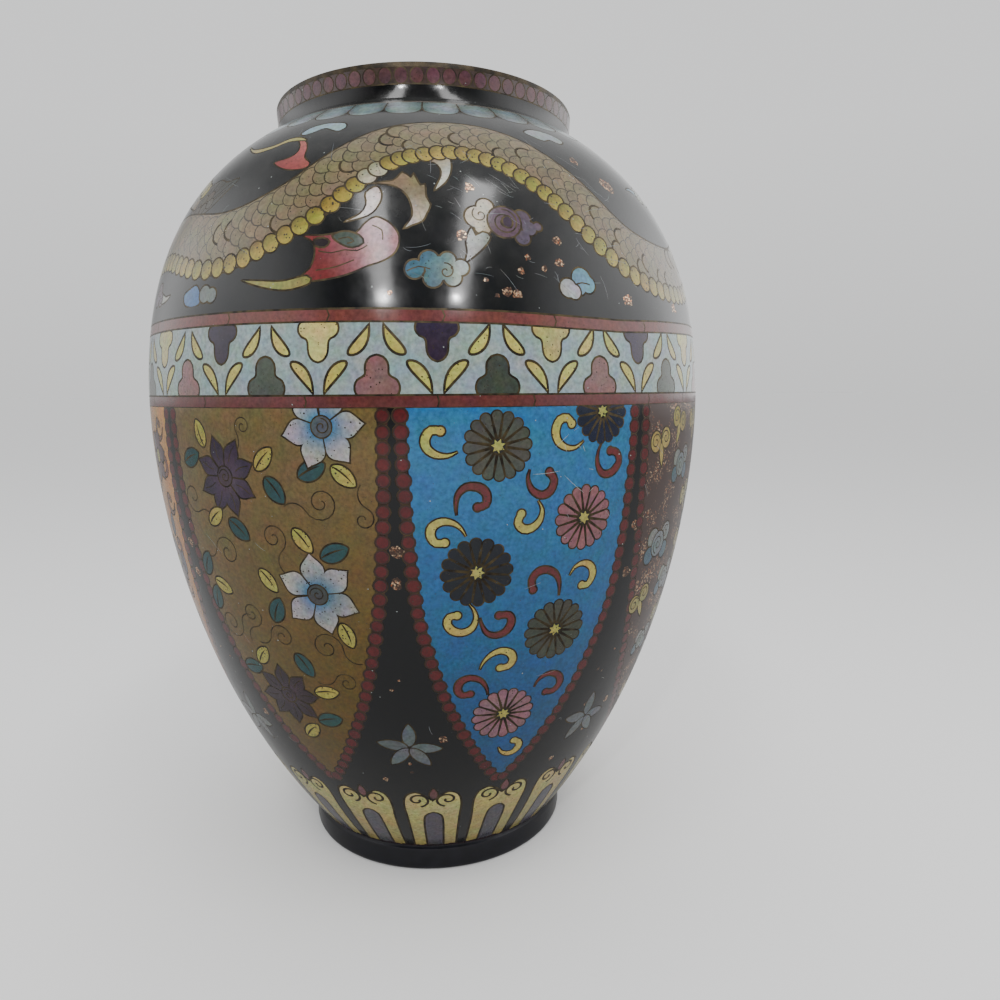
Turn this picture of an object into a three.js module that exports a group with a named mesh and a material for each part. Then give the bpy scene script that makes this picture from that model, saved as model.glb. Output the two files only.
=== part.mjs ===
// A cloisonne enamel jar with a short collar neck and no lid, in millimetres, +Z up.
// The origin is on the axis, on the surface that the foot stands on.
import * as THREE from 'three';

// Overall form of the vessel
const jarHeight = 152;
const bellyRadius = 56.75;
const bellyHeight = 93;
const wall = 2;

// Foot ring, a plain band that the vessel is soldered to
const footRadius = 28.3;
const footHeight = 5.2;
const footWidth = 2.4;
const footBevel = 0.5;

// Collar neck and the brass binding on its lip
const neckRadius = 29.8;
const neckFlare = 0.4;
const neckHeight = 4.8;
const lipHeight = 0.6;
const lipBevel = 0.15;

// Line of solder between two pieces
const solderLine = 0.3;

// Curve of the wall: each handle is a share of its own stretch's radius or height span
const footHandleOut = 0.933;
const footHandleUp = 0.418;
const bellyHandleDown = 0.122;
const bellyHandleUp = 0.597;
const neckHandleOut = 0.514;
const neckHandleDown = 0.149;

// Facets
const roundSides = 64;
const lowerSteps = 13;
const upperSteps = 12;

const lipTop = jarHeight;
const neckTop = lipTop - lipHeight - solderLine;
const neckBase = neckTop - neckHeight;
const lipRadius = neckRadius + neckFlare;
const mouthRadius = neckRadius - wall;
const footInside = footRadius - footWidth;
const baseHeight = footHeight + solderLine;
const floorHeight = baseHeight + wall;

// Outer curve from the foot ring to the neck, in two stretches that meet upright at the belly
function bodyCurve() {
  const lowOut = bellyRadius - footRadius;
  const lowUp = bellyHeight - baseHeight;
  const highOut = bellyRadius - neckRadius;
  const highUp = neckBase - bellyHeight;
  const lower = new THREE.CubicBezierCurve(
    new THREE.Vector2(footRadius, baseHeight),
    new THREE.Vector2(footRadius + footHandleOut * lowOut, baseHeight + footHandleUp * lowUp),
    new THREE.Vector2(bellyRadius, bellyHeight - bellyHandleDown * lowUp),
    new THREE.Vector2(bellyRadius, bellyHeight),
  );
  const upper = new THREE.CubicBezierCurve(
    new THREE.Vector2(bellyRadius, bellyHeight),
    new THREE.Vector2(bellyRadius, bellyHeight + bellyHandleUp * highUp),
    new THREE.Vector2(neckRadius + neckHandleOut * highOut, neckBase - neckHandleDown * highUp),
    new THREE.Vector2(neckRadius, neckBase),
  );
  return { lower, upper };
}

// Points of a curve moved inwards by the wall, square to the curve
function insideOf(curve, steps) {
  const points = [];
  for (let i = 0; i <= steps; i += 1) {
    const point = curve.getPointAt(i / steps);
    const along = curve.getTangentAt(i / steps);
    points.push(new THREE.Vector2(point.x - along.y * wall, point.y + along.x * wall));
  }
  return points;
}

// Radius of a rising row of points at one height
function radiusAt(points, height) {
  const above = points.findIndex((p) => p.y > height);
  const low = points[above - 1];
  const high = points[above];
  return low.x + ((height - low.y) / (high.y - low.y)) * (high.x - low.x);
}

// A turned solid from its profile in radius and height
function turned(profile) {
  const geometry = new THREE.LatheGeometry(profile, roundSides);
  geometry.rotateX(Math.PI / 2);
  return geometry;
}

function bodyGeometry() {
  const { lower, upper } = bodyCurve();
  const outside = [
    new THREE.Vector2(0, baseHeight),
    ...lower.getSpacedPoints(lowerSteps),
    ...upper.getSpacedPoints(upperSteps).slice(1),
    new THREE.Vector2(lipRadius, neckTop),
  ];
  const upperInside = insideOf(upper, upperSteps).filter((p) => p.x > mouthRadius && p.y < neckBase);
  const lowerInside = insideOf(lower, lowerSteps);
  const floorRadius = radiusAt(lowerInside, floorHeight);
  const inside = [
    new THREE.Vector2(mouthRadius, neckTop),
    new THREE.Vector2(mouthRadius, neckBase),
    ...upperInside.reverse(),
    ...lowerInside.slice(0, -1).filter((p) => p.y > floorHeight).reverse(),
    new THREE.Vector2(floorRadius, floorHeight),
    new THREE.Vector2(0, floorHeight),
  ];
  return turned([...outside, ...inside]);
}

function footGeometry() {
  return turned([
    new THREE.Vector2(footInside, footBevel),
    new THREE.Vector2(footInside + footBevel, 0),
    new THREE.Vector2(footRadius - footBevel, 0),
    new THREE.Vector2(footRadius, footBevel),
    new THREE.Vector2(footRadius, footHeight),
    new THREE.Vector2(footInside, footHeight),
    new THREE.Vector2(footInside, footBevel),
  ]);
}

function lipGeometry() {
  const lipBase = lipTop - lipHeight;
  return turned([
    new THREE.Vector2(mouthRadius, lipBase),
    new THREE.Vector2(lipRadius, lipBase),
    new THREE.Vector2(lipRadius, lipTop - lipBevel),
    new THREE.Vector2(lipRadius - lipBevel, lipTop),
    new THREE.Vector2(mouthRadius + lipBevel, lipTop),
    new THREE.Vector2(mouthRadius, lipTop - lipBevel),
    new THREE.Vector2(mouthRadius, lipBase),
  ]);
}

function piece(name, geometry, color, roughness, metalness) {
  const material = new THREE.MeshStandardMaterial({ color, roughness, metalness });
  const mesh = new THREE.Mesh(geometry, material);
  mesh.name = name;
  return mesh;
}

const jar = new THREE.Group();
jar.add(piece('enamel_body', bodyGeometry(), 0x24262a, 0.18, 0));
jar.add(piece('foot_ring', footGeometry(), 0x1b1c22, 0.25, 0));
jar.add(piece('lip_binding', lipGeometry(), 0x6e6248, 0.4, 1));

export default jar;
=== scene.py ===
import math

import bmesh
import bpy
import numpy as np
from mathutils import Matrix, Vector
from mathutils.geometry import delaunay_2d_cdt


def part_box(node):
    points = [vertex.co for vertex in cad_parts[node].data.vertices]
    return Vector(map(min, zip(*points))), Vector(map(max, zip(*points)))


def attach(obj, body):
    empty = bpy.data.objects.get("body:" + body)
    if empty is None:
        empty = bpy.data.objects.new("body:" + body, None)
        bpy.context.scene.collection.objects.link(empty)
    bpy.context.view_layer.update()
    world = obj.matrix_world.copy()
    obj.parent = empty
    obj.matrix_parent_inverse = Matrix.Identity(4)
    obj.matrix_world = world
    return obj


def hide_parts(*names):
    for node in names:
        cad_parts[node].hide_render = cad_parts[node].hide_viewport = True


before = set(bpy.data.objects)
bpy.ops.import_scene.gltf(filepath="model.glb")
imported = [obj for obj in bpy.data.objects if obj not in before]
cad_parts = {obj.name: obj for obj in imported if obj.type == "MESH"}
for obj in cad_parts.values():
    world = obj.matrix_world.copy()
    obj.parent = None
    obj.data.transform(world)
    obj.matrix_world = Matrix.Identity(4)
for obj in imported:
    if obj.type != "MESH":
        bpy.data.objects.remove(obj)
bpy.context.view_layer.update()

mm = 0.001
rng = np.random.default_rng(7)


# Form of the vessel, in millimetres: ends from the frame, curve as shares of each stretch
bodyLow, bodyHigh = (np.array(corner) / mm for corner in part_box("enamel_body"))
footHigh = np.array(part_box("foot_ring")[1]) / mm
lipHigh = np.array(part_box("lip_binding")[1]) / mm

vessel = {
    "footRadius": footHigh[0],
    "base": bodyLow[2],
    "bellyRadius": bodyHigh[0],
    "bellyHeight": 93.0,
    "neckRadius": 29.8,
    "neckBase": 146.3,
    "neckTop": bodyHigh[2],
    "lipRadius": lipHigh[0],
    "lipTop": lipHigh[2],
    "wall": 2.0,
    "footHandle": (0.933, 0.418),
    "bellyHandles": (0.122, 0.597),
    "neckHandle": (0.514, 0.149),
}


def bezier(a, b, c, d, count=400):
    t = np.linspace(0, 1, count)[:, None]
    a, b, c, d = (np.array(p, float) for p in (a, b, c, d))
    return (1 - t) ** 3 * a + 3 * (1 - t) ** 2 * t * b + 3 * (1 - t) * t ** 2 * c + t ** 3 * d


def wallCurve():
    v = vessel
    lowOut, lowUp = v["bellyRadius"] - v["footRadius"], v["bellyHeight"] - v["base"]
    highOut, highUp = v["bellyRadius"] - v["neckRadius"], v["neckBase"] - v["bellyHeight"]
    lower = bezier(
        (v["footRadius"], v["base"]),
        (v["footRadius"] + v["footHandle"][0] * lowOut, v["base"] + v["footHandle"][1] * lowUp),
        (v["bellyRadius"], v["bellyHeight"] - v["bellyHandles"][0] * lowUp),
        (v["bellyRadius"], v["bellyHeight"]),
    )
    upper = bezier(
        (v["bellyRadius"], v["bellyHeight"]),
        (v["bellyRadius"], v["bellyHeight"] + v["bellyHandles"][1] * highUp),
        (v["neckRadius"] + v["neckHandle"][0] * highOut, v["neckBase"] - v["neckHandle"][1] * highUp),
        (v["neckRadius"], v["neckBase"]),
    )
    return np.vstack([lower, upper[1:]])


curve = wallCurve()
steps = np.hypot(*np.diff(curve, axis=0).T)
wallUp = np.concatenate([[0], np.cumsum(steps)])
wallTop = wallUp[-1]
tangent = np.gradient(curve, wallUp, axis=0)
neckLength = math.hypot(vessel["lipRadius"] - vessel["neckRadius"], vessel["neckTop"] - vessel["neckBase"])

# The enamel is drawn on a flat sheet first: x is the angle times sheetRadius, y is the way up the wall
sheetRadius = 50.0
halfSheet = math.pi * sheetRadius


def wallRadius(up):
    return np.interp(up, wallUp, curve[:, 0])


def sheetScale(up):
    # real millimetres for each millimetre across the sheet
    return wallRadius(up) / sheetRadius


def onWall(points):
    p = np.atleast_2d(np.array(points, float))
    return np.column_stack([np.radians(p[:, 0]) * sheetRadius, p[:, 1]])


def put(shape, degree, up, turn=0.0):
    # a shape in its own millimetres, turned and laid on the sheet
    c, s = math.cos(math.radians(turn)), math.sin(math.radians(turn))
    x = shape[:, 0] * c - shape[:, 1] * s
    y = shape[:, 0] * s + shape[:, 1] * c + up
    return np.column_stack([math.radians(degree) * sheetRadius + x * sheetRadius / wallRadius(y), y])


def wrapped(degree):
    return degree - 360 * (degree > 180)


def moved(points, degree, up=0):
    return [(degree + x, up + y) for x, y in points]


def belt(low, high, count=183):
    # a loop all round the jar between two heights, a little past the seam at the back
    wide = np.linspace(-182, 182, count)
    edges = [np.column_stack([wide, up + 0 * wide]) for up in (low, high)]
    return onWall(np.vstack([edges[0], edges[1][::-1]]))


def spiral(angles, reach):
    return np.column_stack([np.cos(angles), np.sin(angles)]) * reach[:, None]


# Shapes, as closed loops of points in millimetres

def circle(radius, count=18):
    a = np.linspace(0, 2 * math.pi, count, endpoint=False)
    return np.column_stack([np.cos(a), np.sin(a)]) * radius


def blade(length, width, start=0.5, end=0.5, bend=0.0, count=12):
    # a petal or leaf along x: a power near 0.5 gives a round end, near 1 a pointed one
    t = (1 - np.cos(np.linspace(0, math.pi, count + 1))) / 2
    widest = start / (start + end)
    y = t ** start * (1 - t) ** end / (widest ** start * (1 - widest) ** end) * width / 2
    middle = bend * 4 * t * (1 - t)
    top = np.column_stack([t * length, middle + y])
    low = np.column_stack([t * length, middle - y])[1:-1]
    return np.vstack([low, top[::-1]])


def smooth(points, closed=True, step=0.7):
    # a soft curve through a few points
    p = np.array(points, float)
    n = len(p)
    out = []
    for i in range(n if closed else n - 1):
        if closed:
            a, b, c, d = p[i - 1], p[i], p[(i + 1) % n], p[(i + 2) % n]
        else:
            a, b, c, d = p[max(i - 1, 0)], p[i], p[i + 1], p[min(i + 2, n - 1)]
        count = max(2, int(math.hypot(*(c - b)) / step))
        t = np.linspace(0, 1, count, endpoint=False)[:, None]
        out.append(0.5 * (2 * b + (c - a) * t + (2 * a - 5 * b + 4 * c - d) * t ** 2
                          + (3 * b - 3 * c + d - a) * t ** 3))
    if not closed:
        out.append(p[-1:])
    return np.vstack(out)


def mirrored(half):
    # a symmetric outline from its right half, which runs from one end of the axis to the other
    line = smooth(half, closed=False, step=0.6)
    return np.vstack([line, (line * [-1, 1])[::-1][1:-1]])


def area(loop):
    x, y = loop.T
    return 0.5 * np.sum(x * np.roll(y, -1) - np.roll(x, -1) * y)


def corners(edges):
    normals = np.column_stack([edges[:, 1], -edges[:, 0]])
    return normals / np.maximum(np.hypot(*normals.T), 1e-9)[:, None]


def grown(loop, width):
    # the loop moved outwards all round, by a real width on the wall
    if area(loop) < 0:
        loop = loop[::-1]
    across = sheetScale(loop[:, 1])
    edges = np.roll(loop, -1, axis=0) - loop
    edges[:, 0] *= across
    n = corners(edges)
    both = n + np.roll(n, 1, axis=0)
    both /= np.maximum(np.hypot(*both.T), 1e-6)[:, None]
    both /= np.clip(np.sum(both * n, axis=1), 0.5, 1)[:, None]
    return loop + both * width / np.column_stack([across, np.ones(len(loop))])


def ribbon(line, widths):
    across = sheetScale(line[:, 1])
    edges = np.gradient(line, axis=0)
    edges[:, 0] *= across
    n = corners(edges) * (np.array(widths) / 2)[:, None] / np.column_stack([across, np.ones(len(line))])
    return np.vstack([line + n, (line - n)[::-1]])


def filled(loop, longest):
    # more points on the long edges, so that they follow the round wall
    ends = np.roll(loop, -1, axis=0)
    parts = np.maximum(1, np.ceil(np.hypot(*(ends - loop).T) / longest)).astype(int)
    if parts.max() == 1:
        return loop
    return np.vstack([a + (b - a) * (np.arange(n) / n)[:, None] for a, b, n in zip(loop, ends, parts)])


def lengthAlong(line):
    flat = np.diff(line, axis=0)
    flat[:, 0] *= sheetScale(line[1:, 1])
    return np.concatenate([[0], np.cumsum(np.hypot(*flat.T))])


# Colours

def srgb(hexValue):
    parts = [int(hexValue[i:i + 2], 16) / 255 for i in (1, 3, 5)]
    return [c / 12.92 if c <= 0.04045 else ((c + 0.055) / 1.055) ** 2.4 for c in parts]


def shade(colour, points):
    # a plain colour, or two that run into each other along a line or out from a point
    if isinstance(colour, str):
        return np.tile(srgb(colour), (len(points), 1))
    first, second, a, b = colour
    if np.ndim(b) == 0:
        t = (np.hypot(points[:, 0] - a[0], points[:, 1] - a[1]) / b - 0.3) / 0.7
    else:
        way = np.array(b) - a
        t = (points - a) @ way / (way @ way)
    t = np.clip(t, 0, 1)[:, None]
    return np.array(srgb(first)) * (1 - t) + np.array(srgb(second)) * t


enamel, wire, goldstone = 0, 1, 2
wireWidth, fineWire = 0.34, 0.24
cells = []


def cell(loop, colour, kind=enamel, pits=0.15):
    cells.append((loop, kind, colour, pits))


def wireCell(loop):
    cell(loop, "#000000", wire)


def cloison(loop, colour, kind=enamel, pits=0.15, width=wireWidth):
    wireCell(grown(loop, width / 2))
    cell(grown(loop, -width / 2), colour, kind, pits)


def wired(loops, outer, inner, colour, pits):
    # all the wires first, then the enamel inside them, so that loops side by side run together
    for loop in loops:
        wireCell(grown(loop, outer))
    for loop in loops:
        cell(grown(loop, -inner), colour, pits=pits)


def wireLine(points, width=fineWire):
    wireCell(ribbon(points, np.full(len(points), width)))


def wireThrough(points, width=0.2):
    wireLine(smooth(onWall(points), closed=False), width)


def fade(first, second, start, end):
    # one colour running into another from one place on the wall to the next
    return first, second, onWall(start)[0], onWall(end)[0]


def inside(loop, points):
    x, y = points.T
    found = np.zeros(len(points), bool)
    for (ax, ay), (bx, by) in zip(loop, np.roll(loop, -1, axis=0)):
        if ay == by:
            continue
        found ^= ((ay > y) != (by > y)) & (x < (bx - ax) * (y - ay) / (by - ay) + ax)
    return found


# The cells of one band of the jar, cut into triangles that meet edge to edge

meshing = {"grid": 2.4, "edgeStep": 1.2, "longestEdge": 1.5, "joinWithin": 1e-5}


def cutBand(low, high):
    grid, edgeStep = meshing["grid"], meshing["edgeStep"]
    points, edges = [], []

    def addLoop(loop):
        loop = filled(loop, meshing["longestEdge"])
        first = sum(len(p) for p in points)
        points.append(loop)
        edges.extend((first + i, first + (i + 1) % len(loop)) for i in range(len(loop)))

    columns = int(2 * halfSheet / edgeStep)
    rows = max(2, int((high - low) / edgeStep))
    x = np.linspace(-halfSheet, halfSheet, columns + 1)
    y = np.linspace(low, high, rows + 1)
    frameLoop = np.vstack([
        np.column_stack([x, np.full(columns + 1, low)])[:-1],
        np.column_stack([np.full(rows + 1, halfSheet), y])[:-1],
        np.column_stack([x[::-1], np.full(columns + 1, high)])[:-1],
        np.column_stack([np.full(rows + 1, -halfSheet), y[::-1]])[:-1],
    ])
    addLoop(frameLoop)
    wanted = []
    for loop, kind, colour, pits in cells:
        if loop[:, 1].max() < low or loop[:, 1].min() > high:
            continue
        wanted.append((loop, kind, colour, pits, 0.0))
        for side in (-1, 1):
            if (loop[:, 0] * side).max() > halfSheet:
                wanted.append((loop - [side * 2 * halfSheet, 0], kind, colour, pits, -side * 2 * halfSheet))
    for item in wanted:
        addLoop(item[0])
    drawn = np.vstack(points)
    taken = {(int(px), int(py)) for px, py in np.floor(drawn)}
    spread = []
    for row in range(int((high - low) / grid)):
        shift = grid / 2 * (row % 2)
        py = low + grid * (row + 0.5)
        for px in np.arange(-halfSheet + grid / 2 + shift, halfSheet - grid / 2, grid):
            if (math.floor(px), math.floor(py)) not in taken:
                spread.append((px, py))
    allPoints = np.vstack([drawn, np.array(spread)]) if spread else drawn
    verts, _, faces, *_ = delaunay_2d_cdt([tuple(map(float, p)) for p in allPoints], edges, [], 0,
                                          meshing["joinWithin"], False)
    verts = np.array([tuple(p) for p in verts])
    faces = np.array(faces)
    middle = verts[faces].mean(axis=1)
    keep = (np.abs(middle[:, 0]) < halfSheet) & (middle[:, 1] > low) & (middle[:, 1] < high)
    faces, middle = faces[keep], middle[keep]

    # the cell drawn last wins, as a later wire is bent round an earlier one
    order = np.argsort(middle[:, 0])
    sortedX = middle[order, 0]
    owner = np.full(len(faces), -1)
    for number, (loop, *_) in enumerate(wanted):
        first, last = np.searchsorted(sortedX, [loop[:, 0].min(), loop[:, 0].max()])
        near = order[first:last]
        near = near[(middle[near, 1] > loop[:, 1].min()) & (middle[near, 1] < loop[:, 1].max())]
        if len(near):
            owner[near[inside(loop, middle[near])]] = number
    return verts, faces, owner, wanted


def added(name, data):
    made = bpy.data.objects.new(name, data)
    bpy.context.collection.objects.link(made)
    return made


def buildBand(name, low, high, place, ground):
    verts, faces, owner, wanted = cutBand(low, high)
    kinds = np.zeros(len(faces), int)
    colours = np.zeros((len(faces), 3, 4))
    cornersFlat = verts[faces].reshape(-1, 2)
    colours[..., :3] = shade(ground, cornersFlat).reshape(-1, 3, 3)
    colours[..., 3] = 0.1
    for number, (loop, kind, colour, pits, shift) in enumerate(wanted):
        mine = np.nonzero(owner == number)[0]
        if not len(mine):
            continue
        kinds[mine] = kind
        flat = verts[faces[mine]].reshape(-1, 2) - [shift, 0]
        # no two cells are quite the same colour
        local = np.random.default_rng(int(abs(loop[0, 0] - shift) * 97 + abs(loop[0, 1]) * 1013))
        vary = 1 + 0.06 * local.standard_normal() + 0.02 * local.standard_normal(3)
        colours[mine, :, :3] = (shade(colour, flat) * vary).clip(0, 1).reshape(-1, 3, 3)
        colours[mine, :, 3] = pits

    # close the seam at the back
    used = np.unique(faces)
    right = used[verts[used, 0] > halfSheet - 1e-3]
    left = used[verts[used, 0] < -halfSheet + 1e-3]
    right = right[np.argsort(verts[right, 1])]
    left = left[np.argsort(verts[left, 1])]
    welded = np.arange(len(verts))
    welded[right] = left[np.abs(verts[left, 1][None, :] - verts[right, 1][:, None]).argmin(axis=1)]
    uv = verts[faces].reshape(-1, 2)
    uv = np.column_stack([(uv[:, 0] + halfSheet) / (2 * halfSheet), (uv[:, 1] - low) / (high - low)])
    faces = welded[faces]
    solid = (faces[:, 0] != faces[:, 1]) & (faces[:, 1] != faces[:, 2]) & (faces[:, 2] != faces[:, 0])
    uv = uv.reshape(-1, 3, 2)[solid].reshape(-1, 2) * 0.998 + 0.001
    faces, kinds, colours = faces[solid], kinds[solid], colours[solid]
    used, faces = np.unique(faces, return_inverse=True)
    faces = faces.reshape(-1, 3)
    flat = verts[used]
    position, normal = place(flat)

    mesh = bpy.data.meshes.new(name)
    mesh.from_pydata(position.tolist(), [], faces.tolist())
    mesh.polygons.foreach_set("use_smooth", np.ones(len(faces), bool))
    mesh.polygons.foreach_set("material_index", kinds.astype(np.int32))
    layer = mesh.color_attributes.new("glaze", "FLOAT_COLOR", "CORNER")
    layer.data.foreach_set("color", colours.reshape(-1).astype(np.float32))
    mesh.uv_layers.new(name="OFBake").data.foreach_set("uv", uv.reshape(-1).astype(np.float32))
    mesh.normals_split_custom_set_from_vertices(normal.tolist())
    mesh.update()
    piece = added(name, mesh)
    for material in (enamelGlass, brassWire, goldstoneGlass):
        mesh.materials.append(material)
    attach(piece, "root")
    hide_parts("enamel_body")
    print(name, len(faces), "triangles")
    cells.clear()


def aroundAxis(radius, angle, height):
    return np.column_stack([radius * np.sin(angle), -radius * np.cos(angle), height])


def onVessel(flat):
    angle, up = flat[:, 0] / sheetRadius, flat[:, 1]
    height, out, back = (np.interp(up, wallUp, c) for c in (curve[:, 1], tangent[:, 1], tangent[:, 0]))
    return aroundAxis(wallRadius(up), angle, height) * mm, aroundAxis(out, angle, -back)


def onNeck(flat):
    angle = flat[:, 0] / sheetRadius
    t = (flat[:, 1] - wallTop) / neckLength
    radius = vessel["neckRadius"] + t * (vessel["lipRadius"] - vessel["neckRadius"])
    height = vessel["neckBase"] + t * (vessel["neckTop"] - vessel["neckBase"])
    # the normals lean as if the corner below the neck were rounded
    lean = np.interp(t, [0, 0.15, 0.35, 0.5, 1], [0.3, 0.12, 0.045, -0.04, -0.08])
    return aroundAxis(radius, angle, height) * mm, aroundAxis(1, angle, lean) / np.hypot(1, lean)[:, None]


# Materials

def fitted(tree, made, settings=None, **links):
    # settings name a property or an input; a link names its input, or n and the input's number,
    # and comes from a socket or from a node's first output
    for key, value in (settings or {}).items():
        if isinstance(key, str) and hasattr(made, key):
            setattr(made, key, value)
        else:
            made.inputs[key].default_value = value
    for key, source in links.items():
        place = int(key[1:]) if key[0] == "n" and key[1:].isdigit() else key.replace("_", " ")
        tree.links.new(getattr(source, "outputs", [source])[0], made.inputs[place])
    return made


def node(tree, kind, settings=None, **links):
    return fitted(tree, tree.nodes.new("ShaderNode" + kind), settings, **links)


def rgba(hexValue):
    return *srgb(hexValue), 1


def newMaterial(name):
    material = bpy.data.materials.new(name)
    material.use_nodes = True
    tree = material.node_tree
    shader = tree.nodes["Principled BSDF"]
    where = tree.nodes.new("ShaderNodeTexCoord").outputs["Object"]
    return material, tree, shader, where


def per(size):
    return 1 / (size * mm)


def polishedEnamel():
    # Stone-polished glass enamel: deep wet gloss, a little cloudy in each cell, burst bubbles as dark pits
    material, tree, shader, where = newMaterial("polished glass enamel")
    glaze = node(tree, "Attribute", {"attribute_name": "glaze"})
    cloudy = node(tree, "TexNoise", {"Scale": per(3.4), "Detail": 5.0, "Roughness": 0.6}, Vector=where)
    grains = node(tree, "TexNoise", {"Scale": per(0.6), "Detail": 3.0}, Vector=where)
    tints = node(tree, "VectorMath", {"operation": "MULTIPLY_ADD", 1: (0.85, 0.7, 0.85),
                                      2: (0.57, 0.65, 0.57)},
                 n0=cloudy.outputs["Color"])
    grainRange = node(tree, "MapRange", {"From Min": 0.3, "From Max": 0.7, "To Min": 0.69, "To Max": 1.09},
                      Value=grains)
    tinted = node(tree, "VectorMath", {"operation": "MULTIPLY"}, n0=glaze, n1=tints)
    tone = node(tree, "VectorMath", {"operation": "SCALE"}, n0=tinted, Scale=grainRange)
    # burst bubbles, at most 0.27 mm wide
    bubbles = node(tree, "TexVoronoi", {"Scale": per(0.44)}, Vector=where)
    chance = node(tree, "SeparateColor", None, Color=bubbles.outputs["Color"])
    few = node(tree, "Math", {"operation": "POWER", 1: 2.2}, n0=chance)
    sizes = node(tree, "Math", {"operation": "MULTIPLY"}, n0=few, n1=glaze.outputs["Alpha"])
    pitEdge = node(tree, "Math", {"operation": "MULTIPLY", 1: 0.62}, n0=sizes)
    pit = node(tree, "Math", {"operation": "LESS_THAN"}, n0=bubbles, n1=pitEdge)
    dark = node(tree, "Mix", {"data_type": "RGBA", 7: (0.035, 0.027, 0.017, 1)}, n0=pit, n6=tone)
    # pale specks, part dust and part painted glints of light on bubbles, and a thin grey film on what faces
    # up, part dust and part painted light from above
    dustAndGlintCells = node(tree, "TexVoronoi", {"Scale": per(1.7)}, Vector=where)
    dustAndGlintSize = node(tree, "SeparateColor", None, Color=dustAndGlintCells.outputs["Color"])
    dustAndGlintEdge = node(tree, "MapRange", {"From Min": 0.55, "From Max": 1.0, "To Min": 0.0, "To Max": 0.08},
                    Value=dustAndGlintSize.outputs[1])
    isDustAndGlint = node(tree, "Math", {"operation": "LESS_THAN"}, n0=dustAndGlintCells, n1=dustAndGlintEdge)
    pale = node(tree, "Mix", {"data_type": "RGBA", 7: rgba("#9aa19f")}, n0=isDustAndGlint, n6=dark.outputs[2])
    # the grey film grows where the surface faces up: part dust, part painted light from above
    facing = node(tree, "SeparateXYZ", None, n0=node(tree, "NewGeometry").outputs["Normal"])
    upFacingDustAndLight = node(tree, "MapRange", {"From Min": 0.05, "From Max": 0.7, "To Min": 0.0, "To Max": 0.15},
                Value=facing.outputs[2])
    cloudyDustAndLight = node(tree, "Math", {"operation": "MULTIPLY"}, n0=upFacingDustAndLight, n1=cloudy)
    withDustAndTopLight = node(tree, "Mix", {"data_type": "RGBA", 7: rgba("#8b8b86")}, n0=cloudyDustAndLight, n6=pale.outputs[2])
    rough = node(tree, "MapRange", {"From Min": 0.3, "From Max": 0.7, "To Min": 0.095, "To Max": 0.18},
                 Value=cloudy)
    wavy = node(tree, "TexNoise", {"Scale": per(7.0), "Detail": 2.0}, Vector=where)
    bump = node(tree, "Bump", {"Strength": 0.12, "Distance": 0.0004}, Height=wavy)
    pitBump = node(tree, "Bump", {"Strength": 0.6, "Distance": 0.0001, "invert": True}, Height=pit,
                   Normal=bump)
    fitted(tree, shader, {"IOR": 1.48}, Base_Color=withDustAndTopLight.outputs[2], Roughness=rough, Normal=pitBump)
    return material


def mottledMaterial(name, noise, low, high):
    # a colour that drifts between two tones
    material, tree, shader, where = newMaterial(name)
    mottle = node(tree, "TexNoise", noise, Vector=where)
    ramp = node(tree, "ValToRGB", None, Fac=mottle)
    for end, (place, hexValue) in zip(ramp.color_ramp.elements, (low, high)):
        end.position, end.color = place, rgba(hexValue)
    fitted(tree, shader, None, Base_Color=ramp)
    return material, tree, shader, where, mottle


def agedBrass(name, hexDark, hexWorn, roughness):
    # Brass long out of the polish: brown and nearly matt, with a warmer tone where it is rubbed
    material, tree, shader, *_ = mottledMaterial(name, {"Scale": per(1.6), "Detail": 4.0},
                                                 (0.35, hexDark), (0.7, hexWorn))
    fitted(tree, shader, {"Metallic": 0.6, "Roughness": roughness})
    return material


def goldstoneEnamel():
    # Glass full of copper flakes: brown-black in between, with coppery and pale glints
    material, tree, shader, where = newMaterial("goldstone enamel")
    glaze = node(tree, "Attribute", {"attribute_name": "glaze"})
    flakes = node(tree, "TexVoronoi", {"Scale": per(0.24)}, Vector=where)
    patches = node(tree, "TexNoise", {"Scale": per(5.0), "Detail": 4.0}, Vector=where)
    pick = node(tree, "SeparateColor", None, Color=flakes.outputs["Color"])
    level = node(tree, "Math", {"operation": "MULTIPLY"}, n0=pick, n1=patches)
    dense = node(tree, "Math", {"operation": "MULTIPLY_ADD", 1: 0.3}, n0=glaze.outputs["Alpha"], n2=level)
    shine = node(tree, "MapRange", {"From Min": 0.43, "From Max": 0.56}, Value=dense)
    metal = node(tree, "Mix", {"data_type": "RGBA", 6: rgba("#a9603f"), 7: rgba("#ecd2ae")},
                 n0=pick.outputs[2])
    copper = node(tree, "Mix", {"data_type": "RGBA"}, n0=shine, n6=glaze, n7=metal.outputs[2])
    fitted(tree, shader, {"Roughness": 0.28}, Base_Color=copper.outputs[2], Metallic=shine)
    return material


enamelGlass = polishedEnamel()
brassWire = agedBrass("aged brass wire", "#211a12", "#52462c", 0.4)
goldstoneGlass = goldstoneEnamel()


# Motifs that come back in several bands

def chrysanthemum(degree, up, radius, petalColour, turn, petals=16, eye="#a8a052"):
    # long petals side by side that widen outwards to a round end
    share = math.tan(math.pi / petals)
    reach = radius / (1 + share)
    ends = np.radians(np.linspace(-80, 80, 9))
    tip = np.column_stack([reach + share * reach * np.cos(ends), share * reach * np.sin(ends)])
    petal = np.vstack([[radius * 0.2, 0], tip])
    wireCell(put(circle(reach * 0.75, 32), degree, up))
    loops = [put(petal, degree, up, turn + 360 * k / petals) for k in range(petals)]
    wired(loops, 0.12, 0.11, petalColour, 0.4)
    cell(put(circle(radius * 0.21, 16), degree, up), "#16120c", pits=0.2)
    star = circle(1, 14) * np.tile([[radius * 0.21], [radius * 0.12]], (7, 1))
    cell(put(star, degree, up, turn), eye, pits=0.8)


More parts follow.
